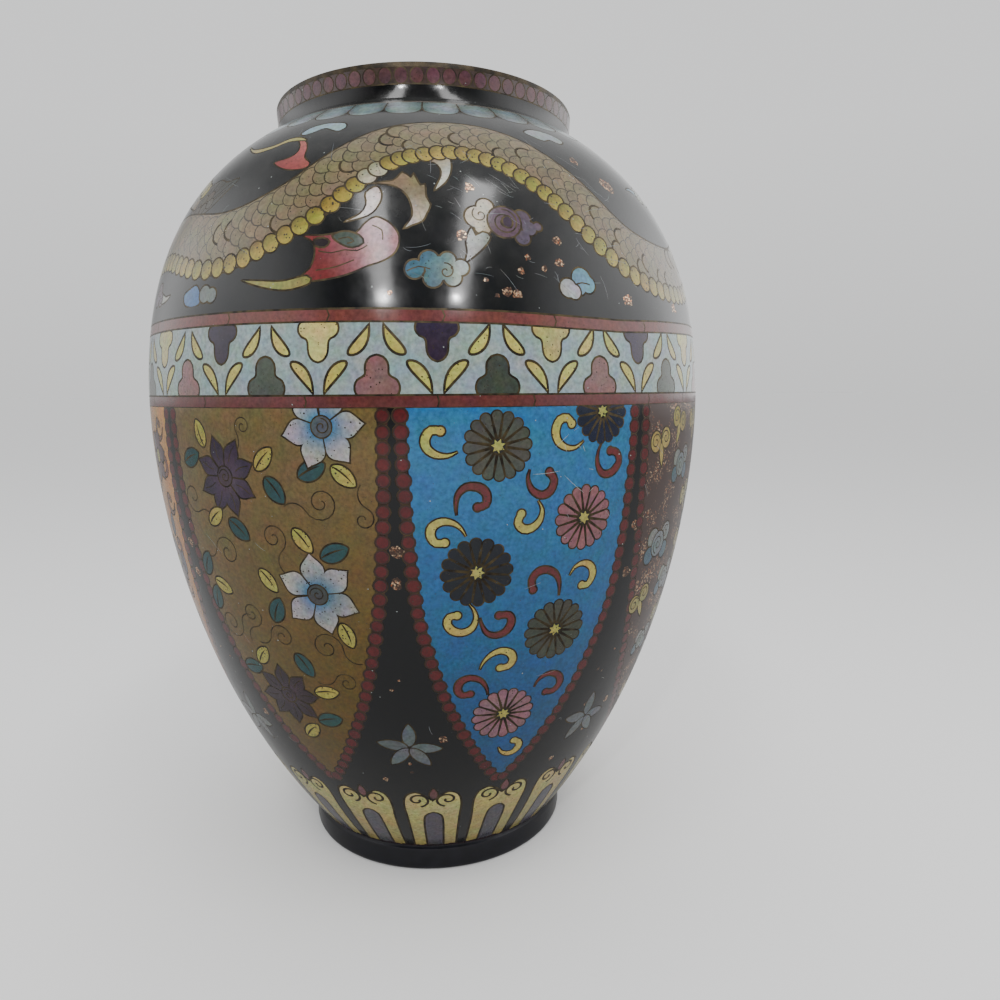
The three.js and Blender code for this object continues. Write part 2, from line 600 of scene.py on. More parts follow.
def flower(degree, up, radius, petalColours, turn, eye, count=6, ringed=True, wide=1.0, veined=False):
    # petals that swell and then run out to a point, blue or dark at the base, round a small coiled eye
    line = smooth([(0.2, 0.115), (0.36, 0.215), (0.53, 0.29), (0.68, 0.275), (0.82, 0.165), (0.91, 0.075),
                   (1, 0)], closed=False, step=0.055) * radius
    line[:, 1] = np.minimum(line[:, 1] * wide, line[:, 0] * math.tan(math.pi / count))
    petal = np.vstack([line * [1, -1], line[::-1][1:]])
    pale, deep = petalColours
    turns = [turn + 360 * k / count + 4 * math.sin(5 * k) for k in range(count)]
    wired([put(petal, degree, up, a) for a in turns], 0.17, 0.1,
          (deep, pale, onWall((degree, up))[0], radius * 0.7), 0.6)
    if veined:
        vein = np.array([(0.4, 0), (0.55, 0.03), (0.7, 0.02), (0.84, -0.01)]) * radius
        for a in turns:
            wireLine(put(vein, degree, up, a), 0.17)
    cloison(put(circle(radius * 0.25), degree, up), eye, width=fineWire)
    if ringed:
        curl(degree, up, radius * 0.19, 1.4, turn, 1, 0.2)


def leaf(degree, up, turn, length=4.9, width=2.8, colour="#a69c4a", pits=0.65):
    loop = put(blade(length, width, 0.62, 0.72, count=13) - [length / 2, 0], degree, up, turn)
    cloison(loop, colour, pits=pits, width=0.3)
    rib = blade(length * 0.84, 0.34, 0.5, 0.9, bend=0.25, count=7) - [length * 0.48, 0]
    wireCell(put(rib, degree, up, turn))


def curl(degree, up, radius, turns, start, hand=1, width=0.2, tail=0.0):
    t = np.linspace(0, 1, int(14 * turns) + 4)
    line = spiral(np.radians(start) + hand * 2 * math.pi * turns * t, radius * (0.12 + 0.88 * t))
    if tail:
        # the stem swings back the other way
        heading = math.atan2(*(line[-1] - line[-2])[::-1]) - hand * np.linspace(0, 1.5, 7)
        steps = np.column_stack([np.cos(heading), np.sin(heading)])
        line = np.vstack([line, line[-1] + np.cumsum(steps, axis=0) * tail / 7])
    wireLine(put(line, degree, up), width)


def hook(points, colour, width):
    # a comma of enamel: a round bulb, a full back and a thin tail
    line = smooth(onWall(points), closed=False, step=0.45)
    along = lengthAlong(line)
    widths = width * np.interp(along / along[-1], [0, 0.12, 0.35, 0.6, 0.85, 1],
                               [0.86, 0.92, 1.06, 0.84, 0.4, 0.16])
    bulb = put(circle(width * 0.53, 16), *points[0])
    wireCell(ribbon(line, widths + 0.3))
    wireCell(grown(bulb, 0.15))
    cell(ribbon(line, np.maximum(widths - 0.26, 0.03)), colour, pits=0.5)
    cell(grown(bulb, -0.13), colour, pits=0.5)


def cloud(lobes, colour, pits=0.2):
    wired([put(circle(radius), degree, up) for degree, up, radius in lobes], 0.15, 0.15, colour, pits)


def patch(points, colour, kind=enamel, pits=0.2, width=0.3):
    cloison(smooth(onWall(points), step=0.6), colour, kind, pits, width)


def speck(degree, up, size):
    # a crumb of goldstone
    wobble = 0.6 + 0.5 * rng.random(9)
    cell(put(circle(size, 9) * wobble[:, None], degree, up), "#3a2417", goldstone, pits=0.5)


# Hairline scratches from handling, mostly where the jar is lifted at its shoulder

handling = np.random.default_rng(3)


def scratches(count, degrees, ups, tint):
    t = np.linspace(-1, 1, 6)
    for _ in range(count):
        length = 0.9 + 4.6 * handling.random() ** 2
        bow = 0.15 * handling.standard_normal()
        line = np.column_stack([t * length / 2, bow * t ** 2])
        turn = -35 + 32 * handling.standard_normal()
        line = put(line, handling.uniform(*degrees), handling.uniform(*ups), turn)
        cell(ribbon(line, 0.055 * np.array([0.4, 1, 1, 1, 1, 0.4])), tint, pits=0)


# Red bands and the pale band of trefoils between them

band = {
    "lowRed": (94.3, 96.2),
    "highRed": [(-180, 108), (-90, 108), (-50, 108.1), (-30, 108), (-10, 107.8), (10, 107.5), (22, 107.1),
                (33, 106.9), (45, 107.4), (60, 107.9), (90, 108), (180, 108)],
    "redWidth": 1.9,
    "count": 20,
    "ground": "#a2b5b8",
    "red": "#6c3a37",
}


# right half of each trefoil from its own foot, and the places where its two leaves start and end
trefoilRows = (
    {"first": 1, "up": 101, "colours": ("#352a3c", "#bfb36c"), "pits": 0.45,
     "half": [(0, 6.1), (2.3, 6.1), (3.1, 5.5), (3.15, 4.5), (2.6, 3.75), (1.95, 3.45), (1.65, 2.9), (1.6, 2),
              (1.4, 1.05), (0.8, 0.3), (0, 0)],
     "leaf": ((0.9, 96.5), (4.4, 101.1)), "bend": 0.5},
    {"first": 10, "up": 96.1, "colours": ("#444c42", "#86605f"), "pits": 0.5,
     "half": [(0, -0.1), (2.4, -0.1), (3.2, 0.4), (3.35, 1.4), (2.95, 2.3), (2.2, 2.75), (1.75, 3.2),
              (1.75, 3.95), (1.6, 4.85), (0.95, 5.65), (0, 5.95)],
     "leaf": ((1.1, 106.4), (4.2, 102.1)), "bend": -0.5},
)


def highRedAt(degree):
    return np.interp(degree, *np.transpose(band["highRed"]))


def redBands():
    low, high = band["lowRed"]
    half = band["redWidth"] / 2
    middle = highRedAt(np.linspace(-182, 182, 183))
    for loop in (belt(low, high), belt(middle - half, middle + half)):
        cloison(loop, band["red"], pits=0.3, width=0.3)
    # the joints of the strips that edge the bands
    for degree in np.arange(-180, 180, 20):
        x = degree + 3 * rng.standard_normal()
        wireLine(onWall([(x, low), (x + 0.3, (low + high) / 2), (x, high)]))
        x = degree + 3 * rng.standard_normal()
        at = highRedAt(x)
        wireLine(onWall([(x, at - half), (x + 0.4, at), (x, at + half)]))


def trefoils():
    for k in range(band["count"]):
        for row in trefoilRows:
            degree = wrapped(row["first"] + 360 / band["count"] * k)
            cloison(put(mirrored(row["half"]), degree, row["up"]), row["colours"][k % 2], pits=row["pits"])
            for side in (-1, 1):
                start, tip = ((degree + side * x, y) for x, y in row["leaf"])
                commaLeaf(start, tip, side * row["bend"])


def commaLeaf(start, tip, bend):
    a, b = onWall([start, tip])
    way = (b - a) * [sheetScale((a[1] + b[1]) / 2), 1]
    length = math.hypot(*way)
    turn = math.degrees(math.atan2(way[1], way[0]))
    loop = put(blade(length, 1.75, 0.95, 0.55, bend=bend, count=12), *start, turn)
    cloison(loop, "#c0b661", pits=0.5, width=0.4)


# Lappet panels hanging from the lower red band

panel = {
    "count": 8,
    "first": 16,
    "line": [(97, 21), (94.3, 20.9), (85, 20.7), (75, 20.3), (65, 19.5), (60, 18.8), (55, 17.7), (50, 16.3),
             (45, 14.6), (40, 12.4), (35, 9.7), (30, 6.5), (26.5, 3.7), (24, 1.5), (22.9, 0)],
    "halfStrip": 0.75,
    "ring": 0.3,
    "border": "#3b1f1b",
    "bead": "#59191b",
    "beadRadius": 0.97,
    "beadPitch": 2.42,
}


def lappetSide(lean):
    # half width and height down one side; lean widens its upper part
    line = smooth([(w, v) for v, w in panel["line"]], closed=False, step=0.9)
    line[:, 0] *= 1 + lean * np.clip((line[:, 1] - 58) / 22, 0, 1)
    return line


def lappet(centre, outwards, leans):
    left, right = (lappetSide(lean) for lean in leans)
    loop = np.vstack([left * [-1, 1] + [centre, 0], (right + [centre, 0])[::-1][1:]])
    loop = grown(onWall(loop), outwards)
    across = (loop[:, 0] - onWall((centre, 0))[0, 0]) * np.where(np.arange(len(loop)) < len(left), -1, 1)
    return loop[across > -1e-6]


def panelBorder(centre, ground, leans=(0, 0), kind=enamel, pits=0.25):
    # the ground inside a row of beads, each in its own ring
    cell(lappet(centre, panel["halfStrip"], leans), panel["border"], pits=0.4)
    cloison(lappet(centre, -panel["halfStrip"], leans), ground, kind, pits, width=0.2)
    for side, lean in zip((-1, 1), leans):
        line = lappetSide(lean)
        along = lengthAlong(onWall(line))
        for distance in np.arange(3.8, along[-1], panel["beadPitch"]):
            half = np.interp(distance, along, line[:, 0])
            up = np.interp(distance, along, line[:, 1])
            size = panel["beadRadius"] * (0.92 + 0.16 * rng.random())
            loop = put(circle(size, 14), centre + side * half, up)
            wireCell(grown(loop, panel["ring"]))
            cell(grown(loop, panel["ring"] - 0.11), panel["border"], pits=0.3)
            cell(grown(loop, -0.07), panel["bead"], pits=0.4)


def bluePanel(centre):
    panelBorder(centre, fade("#1c4f7c", "#2a6e9e", (centre, 40), (centre, 90)), (-0.008, -0.036))
    d = centre - 16.0
    for degree, up, radius, colour in ((10, 88.5, 5.4, "#45473f"), (28.5, 93.4, 5.2, "#151d33"),
                                       (25.8, 76.3, 5.5, "#86585f"), (6.9, 68.5, 5.8, "#10161f"),
                                       (22.5, 56.6, 5.7, "#404136"), (13.8, 40.3, 5.6, "#8f646c")):
        chrysanthemum(degree + d, up, radius, colour, degree * 7)
    yellowHooks = [
        [(1.2, 90.9), (-0.2, 91), (-1.1, 89.8), (-0.9, 88.4), (0.4, 87.4), (2.2, 87.2), (3.8, 87.8)],
        [(22.4, 91.6), (21.6, 92.5), (20.2, 92.2), (19.5, 90.6), (20, 88.9), (21.5, 87.9), (23.3, 87.9),
         (24.8, 88.9)],
        [(1.6, 73.7), (0.2, 73.7), (-0.6, 74.9), (-0.3, 76.3), (1.2, 77.1), (3, 76.8), (4.3, 75.8),
         (5, 74.6)],
        [(14, 77.8), (13.5, 76.4), (14.5, 75.3), (16, 75.4), (17.3, 76.6), (17.6, 78.3), (16.8, 79.8)],
        [(3.6, 61.2), (2.3, 61), (1.9, 59.8), (2.8, 58.5), (4.5, 58), (6.2, 58.7), (6.9, 60.4), (6.5, 62),
         (5.6, 63.2)],
        [(27, 64.3), (28.4, 64.2), (29.3, 65.8), (28.6, 67.5), (26.8, 68.3), (25, 67.8), (24, 66.4)],
        [(12, 50.5), (13.5, 50.6), (14.4, 51.8), (13.8, 53.2), (12, 53.9), (10, 53.3), (8.6, 51.9),
         (8, 50.5)],
        [(17.6, 33.2), (18.8, 32.6), (19.2, 31.4), (18.2, 30.2), (16.5, 30), (14.8, 30.8), (13.9, 32.2)],
    ]
    redHooks = [
        [(6.8, 79.2), (8.1, 79.6), (8.2, 81.2), (7, 82.3), (5, 82.4), (3.7, 81.2), (3.4, 79.5), (3.5, 78)],
        [(18.6, 84.2), (19.5, 82.9), (18.9, 81.2), (17.3, 80.6), (15.6, 81.6), (14.9, 83.4), (15.2, 84.8)],
        [(17, 64.7), (16.6, 66.4), (17.6, 67.8), (19.4, 68), (21.2, 67), (22.1, 65.2), (22.3, 63)],
        [(11, 60.7), (12.8, 60.6), (13.4, 59.3), (12.6, 57.7), (10.8, 57), (9, 57.6), (8, 59.2), (7.6, 60.6)],
        [(6.4, 45.6), (4.8, 45.5), (3.9, 46.7), (4.4, 48.3), (6.2, 49), (8.3, 48.3), (9.6, 46.6), (10, 45)],
        [(30.4, 87), (32, 86.6), (32.6, 85), (31, 83.4), (29, 83.4), (27.8, 85), (27.8, 87), (28.4, 88.2)],
        [(23, 43.6), (25, 43.5), (26.2, 45), (25.3, 46.8), (23, 47.6), (20.8, 46.8), (19.9, 45.2)],
    ]
    for lines, colour, width in ((yellowHooks, "#b5aa58", 1.45), (redHooks, "#682a2c", 1.35)):
        for line in lines:
            hook(moved(line, d), colour, width)


def olivePanel(centre):
    panelBorder(centre, fade("#5f4915", "#6f5d3a", (centre + 16, 50), (centre - 16, 88)), (0.006, 0.037))
    d = centre + 29.0
    for across, *spot in ((-31, 91.6, 1.7, 1.5, 40, 1), (-46, 79.5, 2.9, 1.3, 200, 1),
                          (-17.8, 80, 3, 1.6, 60, -1),
                 (-11, 77.5, 1.9, 1.2, 0, 1), (-27.3, 74, 2.6, 1.5, 120, -1), (-38.5, 70.5, 3, 1.4, 30, 1),
                 (-36, 59.5, 2.5, 1.5, 90, -1), (-43, 56.7, 3.1, 1.6, 150, 1), (-29.5, 56, 2.5, 1.5, 0, 1),
                 (-20.3, 55, 3, 1.5, 170, -1), (-17.5, 48, 2.1, 1.4, 20, 1)):
        curl(across + d, *spot, 0.22, tail=4.2)
    for degree, up, turn in ((-44.7, 86.2, 20), (-25.8, 81.7, -52), (-18.9, 85, 25), (-34.5, 74.8, -38),
                             (-16.3, 72, 22), (-29.3, 61.1, 65), (-26, 50.8, -60), (-40.5, 48.2, 10),
                             (-23.5, 39.2, 15), (-46, 67.6, 60), (-45.6, 61.3, 70)):
        leaf(degree + d, up, turn, 5.2, 3.2, "#1f4747", 0.25)
    flower(-36.0 + d, 83.5, 6.8, ("#35263a", "#4b3a4c"), 20, "#43343f", 8, wide=0.8, veined=True)
    flower(-16.8 + d, 91.6, 6.8, ("#aaa5a3", "#2a6d97"), -52, "#4b5458")
    flower(-20.3 + d, 64.7, 7.2, ("#a7a19f", "#2f6c90"), 38, "#3b403e")
    flower(-32.5 + d, 43.5, 6.5, ("#2f1e29", "#3f2d38"), 5, "#3d2b36", 8, wide=0.8, veined=True)
    for degree, up, turn in ((-41.3, 90.3, 112), (-27.4, 86.6, 46), (-13.7, 84.2, -40), (-40, 76.6, 36),
                             (-21.7, 73.8, -52), (-29.9, 66.4, -52), (-42.3, 63.9, -22), (-15.9, 57.5, -72),
                             (-36.3, 51.3, 50), (-22.5, 45.5, 8), (-29.3, 35.8, 45)):
        leaf(degree + d, up, turn)


def peachPanel(centre):
    # peach ground with brown scrolls, small purple flowers and slate leaves
    panelBorder(centre, fade("#a8682f", "#c08a4c", (centre, 40), (centre, 92)))
    scrolls = [(15.5, 91, 1), (16, 84.5, -1), (15.8, 77.5, 1), (10.5, 88.5, -1), (4, 90.5, 1), (-3.5, 90, -1),
               (-10.5, 90.5, 1), (-15.5, 86, -1), (-15, 77, 1), (-8.5, 80.5, 1), (7.5, 81, 1),
               (1.5, 76.5, -1), (14, 69, -1), (-13.5, 68.5, -1), (6.5, 70, 1), (-5, 66.5, 1), (12, 60.5, 1),
               (2.5, 61.5, -1), (-10.5, 58.5, 1), (8.5, 53, -1), (-3.5, 54.5, 1), (-8.5, 49.5, -1),
               (5.5, 46, 1), (-3, 41.5, -1), (3, 36.5, 1)]
    for across, up, hand in scrolls:
        hook([(centre + across + hand * x, up + y) for x, y in
              ((0.3, 0.3), (-0.7, 1), (-1.7, 0.2), (-1.6, -1.4), (0, -2.3), (1.7, -1.7), (2.5, -0.1))],
             "#71402a", 1.1)
    for across, up, size, turn in ((12, 85.5, 5.4, 10), (-4.5, 84, 5.6, 40), (9.5, 65, 5.4, 25),
                                   (-7.5, 73, 5.4, 0), (-1, 48.5, 5.2, 15)):
        flower(centre + across, up, size, ("#4a2730", "#5d3540"), turn, "#b0a455", ringed=False)
    for across, up, turn in ((13.5, 72.8, 70), (14.6, 65.5, 80), (1.5, 68, 30), (-12, 63, 110), (4.8, 57, 60),
                             (-6, 45.5, 130), (1.5, 83.5, 150), (-11.5, 84, 60), (0.5, 31.5, 90)):
        leaf(centre + across, up, turn, 5, 2.6, "#4c5064", 0.3)


def bowCurls(degree, up, turn, size, colour):
    # two coiled lobes side by side over one stalk, like a tied ribbon
    stalk = put(blade(size * 2.6, size * 0.9, 0.6, 1, count=12), degree, up, turn - 90)
    middles = [(side, np.array([side * size * 1.02, size * 0.3])) for side in (-1, 1)]
    lobes = [put(circle(size, 18) * [1, 1.12] + middle, degree, up, turn) for _, middle in middles]
    wired([stalk] + lobes, 0.16, 0.14, colour, 0.4)
    t = np.linspace(0, 1, 22)
    for side, middle in middles:
        coil = spiral(math.radians(90) + side * (2.6 * math.pi * t - 0.4), size * (0.15 + 0.7 * t))
        wireLine(put(coil + middle, degree, up, turn), 0.22)


def goldstonePanel(centre):
    # brown ground with copper flakes, yellow bows and grey-blue rolling clouds
    panelBorder(centre, "#3f2b25", (0.04, 0.006), goldstone, 0.02)
    for across, up, scale, hand in ((-12, 68.5, 1, 1), (-6, 83, 0.9, 1), (10, 88, 0.9, -1),
                                    (9, 73, 1, -1), (-3, 60, 0.9, 1), (8.5, 58, 0.8, -1),
                                    (-6, 47, 0.8, 1), (3.5, 42, 0.7, -1)):
        middle = centre + across
        lobes = [(middle + hand * x * scale, up + y * scale, r * scale) for x, y, r in
                 ((0, 0, 2.6), (2.9, 1.9, 2.1), (-2.6, 1.4, 2), (3.4, -1.6, 1.8), (-3.2, -1.9, 1.8))]
        cloud(lobes[1:3], "#7b807c")
        cloud(lobes[3:], "#435c6b")
        cloud(lobes[:1], "#6f7a7a")
        curl(middle, up, 1.9 * scale, 1.6, 40, hand, 0.22)
        curl(*lobes[1][:2], 1.4 * scale, 1.3, 160, -hand, 0.2)
    for across, up, turn in ((-16.2, 87.6, 10), (-8.4, 91, -15), (-14.6, 57.6, 30), (2, 91, 5),
                             (15, 80.5, -10), (1, 76.5, 20), (3, 66.5, -20), (12, 65.5, 10), (0.5, 52, 15),
                             (0, 33.5, 0)):
        bowCurls(centre + across, up, turn, 1.75, "#a89a55")


def wedges():
    # black ground between the panels, with copper flecks and one small pale flower
    for k in range(panel["count"]):
        middle = wrapped(panel["first"] + 22.5 + 45 * k)
        for _ in range(5):
            speck(middle + 6 * (rng.random() - 0.5), 26 + 24 * rng.random(), 0.25 + 0.25 * rng.random())
        for across, up, size in ((0.5, 72.5, 1.3), (0.1, 66.2, 1.2), (7.6, 36.4, 0.9), (-7, 24.6, 0.7)):
            speck(middle + across, up + rng.standard_normal(), size)
        for turn in (88, 168, -4, 232, 306):
            loop = put(blade(5.6, 2.5, 0.62, 0.8, count=12) + [0.2, 0], middle, 33.8, turn)
            cloison(loop, "#62686a", pits=0.3, width=0.24)


# Foot border of tall ruyi arches

footBorder = {
    "count": 18,
    "first": -2,
    "yellow": ("#ab9d5d", "#c6b973"),
    "opening": "#55505a",
    "arch": [(-8.3, -0.6), (-8, 6), (-8, 12), (-8.2, 17), (-7.2, 20), (-4.4, 21.1), (-1.6, 19.8), (0.1, 18.4),
             (1.8, 19.8), (4.6, 21.1), (7.2, 20), (8.2, 17), (8, 12), (8, 6), (8.3, -0.6)],
    "slot": [(-3.2, -0.6), (-3.15, 6), (-3.05, 10.5), (-2.4, 13.2), (0, 14.3), (2.4, 13.2), (3.05, 10.5),
             (3.15, 6), (3.2, -0.6)],
}


def footArches():
    ragged = 0.75 + 0.16 * rng.standard_normal(365)
    for k in range(footBorder["count"]):
        degree = wrapped(footBorder["first"] + 360 / footBorder["count"] * k)
        yellow = fade(*footBorder["yellow"], (degree, 0), (degree, 19))
        for outline, colour, pits in (("arch", yellow, 0.4), ("slot", footBorder["opening"], 0.3)):
            line = smooth(moved(footBorder[outline], degree), closed=False, step=0.9)
            cloison(onWall(line), colour, pits=pits, width=0.42)
        for side in (-1, 1):
            curl(degree + side * 4.2, 18.6, 2.3, 1.3, 90 + side * 60, side, 0.52)
        loop = put(blade(3.4, 1.7, 0.5, 0.8, count=12), degree + 0.4, 18.9, 90)
        cloison(loop, "#6f4246", pits=0.3, width=0.28)
    # the enamel ends raggedly at the foot ring
    cell(belt(-1, ragged, 365), "#33232a", pits=0.6)


# Shoulder: the dragon's body, its claws, flames and clouds on black

dragon = {
    "spine": [(-54, 131, 4.2), (-58, 132.6, 5), (-64, 134.8, 6.2), (-74, 136.6, 7.4), (-87, 137.4, 8.2),
              (-100, 135.4, 8.6), (-108.5, 129.8, 8.9), (-107, 123.4, 9.1), (-98, 119.4, 9.3),
              (-86, 118.6, 9.4), (-76, 120.8, 9.5), (-67, 123.2, 9.6), (-58, 123.6, 9.8), (-50, 122.2, 10.4),
              (-42, 120.8, 11), (-35, 121.2, 11), (-28, 123.5, 10.6), (-22, 126.6, 10.4),
              (-17.5, 130.2, 10.2), (-12.5, 134.2, 9.8), (-7, 137.2, 9.6), (-1, 138.6, 9.6), (5, 139.1, 9.2),
              (11, 138.5, 9.5), (17, 136.6, 9.8), (22, 133.6, 9.8), (26.5, 130, 9.8), (30.5, 126, 9.8),
              (34.5, 122.5, 9.8), (39, 119.9, 9.8), (45, 118.3, 10), (52, 117.8, 10), (60, 118.5, 10),
              (68, 121, 9.8), (76, 125, 9.6), (84, 129.6, 9.2), (92, 132.4, 8.8), (100, 133, 8.4),
              (108, 131.6, 8), (116, 129.2, 7.6)],
    "skin": "#796b4d",
    "scute": ("#665a22", "#a8973a"),
    # pale scute colours for a painted highlight
    "paintedHighlight": ("#8b8266", "#bdb7a0"),
    "start": 1.5,
    "scutePitch": 2.3,
    "scaleRows": 4,
    "scalePitch": 3,
    "scaleSize": 0.168,
}


def dragonBody():
    both = smooth(dragon["spine"], closed=False, step=1.2)
    line, width = onWall(both[:, :2]), both[:, 2]
    cloison(ribbon(line, width), dragon["skin"], pits=0.25, width=0.34)
    along = lengthAlong(line)
    across = sheetScale(line[:, 1])
    way = np.gradient(line, axis=0)
    way[:, 0] *= across
    way /= np.hypot(*way.T)[:, None]
    side = np.column_stack([-way[:, 1] / across, way[:, 0]])

    def at(distance, share):
        # share runs from -1 on the belly side to 1 on the back
        x, n, heading = (np.array([np.interp(distance, along, p[:, i]) for i in (0, 1)])
                         for p in (line, side, way))
        w = np.interp(distance, along, width)
        spot = x + n * share * w / 2
        turn = math.degrees(math.atan2(heading[1], heading[0]))
        return math.degrees(spot[0] / sheetRadius), spot[1], turn, w

    rows = dragon["scaleRows"]
    for column, distance in enumerate(np.arange(dragon["start"], along[-1] - 1, dragon["scalePitch"] / 2)):
        for row in range(column % 2, rows, 2):
            degree, up, turn, w = at(distance, -0.44 + 1.18 * (row + 0.5) / rows)
            size = w * dragon["scaleSize"] * (0.93 + 0.16 * rng.random())
            scale = put(circle(1, 16) * [size * 1.14, size], degree, up, turn + 9 * rng.standard_normal())
            # a few wires stay bright and broad, and the others are rubbed as brown as the skin
            bright = rng.random() < 0.12
            around = 0.3 if bright else 0.02 + 0.1 * rng.random()
            cell(grown(scale, around), "#372d1c", wire if bright else enamel, 0)
            cell(grown(scale, -0.12), dragon["skin"], pits=0.5)
    edge = ribbon(line, width)
    for half in (edge[:len(line)], edge[len(line):]):
        wireLine(half, 0.34)
    for distance in np.arange(dragon["start"], along[-1], dragon["scutePitch"]):
        degree, up, turn, w = at(distance, -0.8)
        # scutes where the shine runs down the front of the wall are painted pale, a painted highlight
        paintedHighlight = abs(degree + 9.5) < 2.4
        colour = fade(*dragon["paintedHighlight" if paintedHighlight else "scute"], (degree - 1.2, up + 1.3),
                      (degree + 0.5, up - 0.5))
        wired([put(circle(1, 18) * [1.45, 1.7], degree, up, turn + 12)], 0.15, 0.15, colour, 0.7)


def frontMotifs():
    # big flame under the arch, red at its tail and pink at its head
    patch([(-19.2, 113), (-15, 113.3), (-12, 114), (-9.5, 115), (-7, 115.8), (-5.1, 117.2), (-4.6, 119.5),
           (-6, 121.6), (-8.5, 122.8), (-10.4, 121.6), (-11.6, 120.2), (-14, 120.4), (-17, 120.1),
           (-20.6, 120.2), (-18.7, 119), (-18.2, 117), (-18.8, 115), (-20, 114)],
          fade("#7a2c2e", "#b58a92", (-17, 116), (-6, 119.5)), pits=0.3)
    patch([(-15.5, 119.9), (-13.5, 120.6), (-11, 119.9), (-10.2, 118.6), (-12, 117.9), (-14, 118.6)],
          "#4b574f")
    patch([(-18.6, 119.4), (-17, 119.7), (-15.8, 119), (-16.6, 118.1), (-18.2, 118.4)], "#2a2326")
    for line in ([(-17.6, 117.6), (-15.4, 117.2), (-13.2, 117.6), (-11.2, 117.4), (-9.6, 118.2)],
                 [(-14.4, 119.3), (-12.8, 119.6), (-11.8, 118.9), (-12.9, 118.6)],
                 [(-17.8, 114.6), (-14.6, 115), (-11.6, 116)], [(-9, 121.4), (-7.4, 120.6), (-7.2, 119)]):
        wireThrough(line)
    patch([(-31.5, 113.8), (-27, 112.4), (-22.5, 111.8), (-18.6, 112.7), (-19.2, 113.9), (-23.5, 113.3),
           (-28, 113.6)],
          "#8e8a48", pits=0.3)
    # claws
    patch([(-8.7, 128.2), (-7.7, 126.6), (-8.2, 124.6), (-9.8, 123), (-13.6, 122.1), (-11.2, 123.4),
           (-10.3, 125), (-10.6, 127)], fade("#b9a9a0", "#d7cfc6", (-9, 128), (-12, 122)), pits=0.4)
    patch([(-9.8, 128.8), (-6, 129.3), (-4.4, 130.9), (-2.9, 129.9), (-2.4, 130.6), (-1.2, 128.4),
           (-0.4, 128.6), (-0.2, 126.2), (0.5, 124.9), (-0.2, 123.2), (-0.9, 122), (-2.4, 121.4),
           (-3.9, 120.8), (-2.6, 122.9), (-2.9, 125.2), (-4, 127), (-6.2, 128.3)],
          fade("#8a775b", "#cfc8ba", (-1.5, 127), (-2, 122)), pits=0.3)
    patch([(-0.6, 133.4), (1.2, 132.9), (2.3, 131.8), (2.4, 130.2), (1.2, 127.4), (3.4, 129.2), (4.4, 131.6),
           (4.2, 134.2), (1.5, 134.5)], fade("#8a775b", "#cdc8bb", (0.5, 133), (3.4, 130)), pits=0.3)
    # cloud of cream and purple, coiled up
    cloud([(15.9, 123.2, 1.5), (17, 121.6, 1.3), (15.6, 120, 1.3), (18.6, 122, 0.8)], "#5b505d", 0.4)
    cloud([(8, 123, 1.9), (9.6, 124.9, 1.4), (8.9, 121.4, 1.4), (10.4, 123, 1.6)], "#a8967f", 0.5)
    cloud([(12.7, 122.4, 2.7)], "#5a4556", 0.4)
    curl(12.7, 122.4, 2.2, 2.1, 60, 1, 0.24)
    patch([(12.4, 123), (13.5, 123.5), (14.2, 122.6), (13.7, 121.5), (12.5, 121.7)], "#37283a")
    curl(8.6, 123.4, 1.3, 1.2, 200, -1, 0.2)
    patch([(5.7, 115.6), (8.4, 117.6), (10.1, 119.8), (8.8, 120.6), (7.6, 120), (7, 121.3), (5.9, 119.2),
           (6, 117.2)], "#8d9490", pits=0.6)
    # blue cloud below it
    cloud([(-2.2, 114.5, 1.5), (3.6, 113.3, 1.4), (0.6, 113.2, 1.5), (0, 115.9, 1.5), (2.9, 115.9, 1.3),
           (4.9, 114.8, 1.3), (1.4, 114.6, 2)], fade("#466f81", "#838f8b", (-1, 115), (5, 114)), 0.4)
    curl(2.6, 114.2, 1.3, 1.2, 30, 1, 0.22)
    wireThrough([(-3.4, 114.2), (-1.6, 114.9), (0.2, 114.5)])
    # clouds beside the arch
    cloud([(25.6, 114, 1.9), (26.8, 113.2, 1.5), (25, 112.6, 1.3)], "#5f8fa3")
    cloud([(22.8, 112.4, 1.6), (23.9, 111.9, 1.3)], "#a4a9a6")
    wireThrough([(24.2, 113), (25.6, 113.4), (27.2, 113.2)], fineWire)
    patch([(-46.8, 112.6), (-44.8, 113.6), (-43, 114), (-41.6, 112.6), (-41.4, 110.9), (-43.4, 110.4),
           (-46, 110.9)], "#466c9c")
    cloud([(-40.2, 112.3, 1.5), (-38.4, 112, 1.3)], "#6a7672")
    # flame and cloud over the left of the arch
    patch([(-32, 135.2), (-29, 133.4), (-26, 132.7), (-23.4, 132.8), (-22.8, 133.9), (-24.6, 135.4),
           (-25.2, 137.8), (-26.6, 139.8), (-29, 140.6), (-27.6, 138.8), (-27.2, 137), (-28.6, 135.9)],
          fade("#8f3a38", "#a5554f", (-30, 134), (-26, 139)), pits=0.3)
    patch([(-26.6, 140), (-28.5, 141.2), (-32, 141.6), (-36.5, 140.4), (-43, 140.9), (-48.5, 143),
           (-42, 139.6), (-36.5, 139.4), (-31.5, 140.5)], "#b0a45c", pits=0.3)
    patch([(-29.8, 142.6), (-28.4, 144.2), (-25, 145), (-21.5, 144.8), (-18.9, 144.2), (-18.2, 142.8),
           (-19.6, 141.7), (-21.5, 142.3), (-23.8, 143.2), (-26.6, 142.2), (-28.8, 141.9)], "#8ba3b2",
          pits=0.2)
    patch([(23.6, 143.6), (26, 145), (29.5, 145.4), (33.5, 144.8), (35.2, 143.2), (33, 142), (30.4, 142.6),
           (28.2, 141.8), (25.6, 142.4)], "#8f9c9c", pits=0.2)
